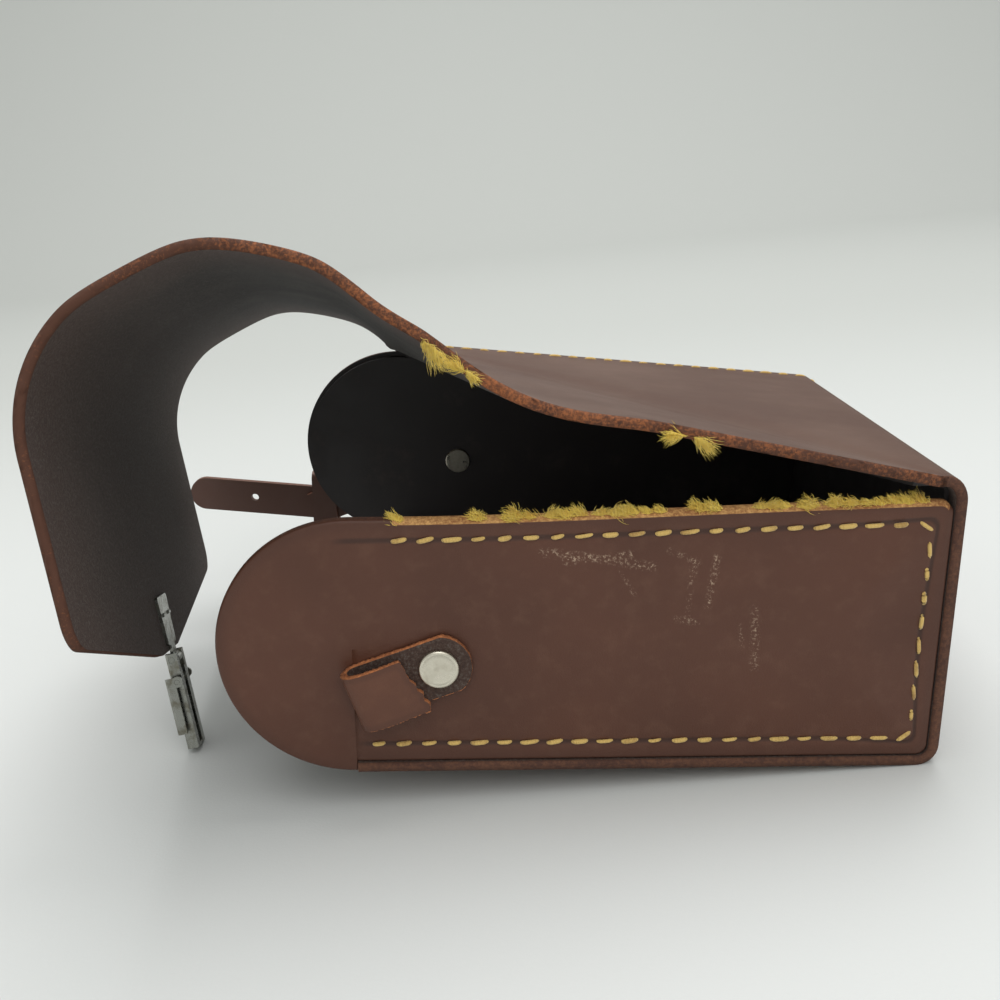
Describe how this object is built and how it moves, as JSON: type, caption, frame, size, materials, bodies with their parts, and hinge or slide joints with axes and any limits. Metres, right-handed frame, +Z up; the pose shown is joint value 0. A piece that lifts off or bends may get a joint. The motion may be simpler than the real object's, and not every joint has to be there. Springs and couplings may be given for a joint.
{
  "type": "camera case",
  "caption": "Stitched leather camera case lying on its front, with a torn-back curling lid, a hinged hasp, riveted side tab and strap, and an open mouth.",
  "frame": {"origin": "on the table under the middle of the object's box", "axes": "+X from the lid and mouth towards the base, +Y away from the tab side, +Z up"},
  "size_m": [0.2112, 0.1686, 0.1337],
  "materials": {
    "leather_strip": "worn smooth brown harness leather with a brown suede back",
    "leather_panel": "smooth brown leather with faint grain and raw tan edges",
    "lining": "smooth near-black lining",
    "strap_leather": "brown strap leather with orange-brown raw edges",
    "rivet_nickel": "polished nickel with light wear",
    "hasp_nickel": "dulled scratched nickel plate"
  },
  "bodies": {
    "case": {"case_strip": "leather_strip", "strip_lining": "lining", "near_side_panel": "leather_panel", "near_side_lining": "lining", "far_side_panel": "leather_panel", "far_side_lining": "lining", "near_rivet_cap": "rivet_nickel", "near_rivet_post": "rivet_nickel", "near_rivet_back": "rivet_nickel", "far_rivet_cap": "rivet_nickel", "far_rivet_post": "rivet_nickel", "far_rivet_back": "rivet_nickel", "catch": "hasp_nickel", "catch_rivets": "hasp_nickel"},
    "back_gore": {"back_gore": "leather_strip"},
    "lid_root": {"lid_root": "leather_strip"},
    "lid_crown": {"lid_crown": "leather_strip"},
    "lid_roll": {"lid_roll": "leather_strip"},
    "lid_end": {"lid_end": "leather_strip", "hasp_outer_plate": "hasp_nickel", "hasp_inner_plate": "hasp_nickel", "hasp_pin": "hasp_nickel"},
    "hasp_arm": {"hasp_arm": "hasp_nickel", "lever_pin": "hasp_nickel"},
    "hasp_lever": {"hasp_lever": "hasp_nickel"},
    "near_tab": {"near_tab": "strap_leather"},
    "strap_root": {"far_strap_root": "strap_leather"},
    "strap_end": {"far_strap_end": "strap_leather"},
    "keeper": {"strap_keeper": "strap_leather"}
  },
  "joints": [
    {"name": "first_fold", "type": "hinge", "parent": "case", "child": "back_gore", "pos_m": [0.09544, -0.06477, 0.06999], "axis": [-0.6644, 0.7424, 0.0863], "range_deg": [-18.8, 60]},
    {"name": "second_fold", "type": "hinge", "parent": "back_gore", "child": "lid_root", "pos_m": [0.00872, -0.06408, 0.09546], "axis": [-0.2682, 0.9613, -0.0628], "range_deg": [-21.9, 45]},
    {"name": "crown_fold", "type": "hinge", "parent": "lid_root", "child": "lid_crown", "pos_m": [-0.02234, -0.06115, 0.11908], "axis": [-0.0564, 0.971, -0.2324], "range_deg": [-14, 30]},
    {"name": "roll_fold", "type": "hinge", "parent": "lid_crown", "child": "lid_roll", "pos_m": [-0.04228, -0.06055, 0.13131], "axis": [-0.0564, 0.971, -0.2324], "range_deg": [-9.6, 30]},
    {"name": "end_fold", "type": "hinge", "parent": "lid_roll", "child": "lid_end", "pos_m": [-0.07144, -0.06516, 0.12942], "axis": [-0.0564, 0.971, -0.2324], "range_deg": [-14.5, 30]},
    {"name": "hasp_hinge", "type": "hinge", "parent": "lid_end", "child": "hasp_arm", "pos_m": [-0.08893, -0.01994, 0.02427], "axis": [-0.0579, 0.9737, -0.2204], "range_deg": [0, 85]},
    {"name": "lever_hinge", "type": "hinge", "parent": "hasp_arm", "child": "hasp_lever", "pos_m": [-0.08774, -0.02109, 0.01889], "axis": [-0.0579, 0.9737, -0.2204], "range_deg": [0, 75]},
    {"name": "near_tab_swivel", "type": "hinge", "parent": "case", "child": "near_tab", "pos_m": [-0.01637, -0.06477, 0.03629], "axis": [0, 1, 0], "range_deg": [-30, 30]},
    {"name": "strap_swivel", "type": "hinge", "parent": "case", "child": "strap_root", "pos_m": [-0.01324, 0.07573, 0.04556], "axis": [0, 1, 0], "range_deg": [-25, 25]},
    {"name": "strap_end_slide", "type": "slide", "parent": "strap_root", "child": "strap_end", "axis": [0.9855, -0.0435, -0.1639], "range_m": [-0.003, 0.01]},
    {"name": "keeper_slide", "type": "slide", "parent": "strap_root", "child": "keeper", "axis": [0.9953, -0.0436, -0.086], "range_m": [-0.0015, 0.0015]}
  ]
}
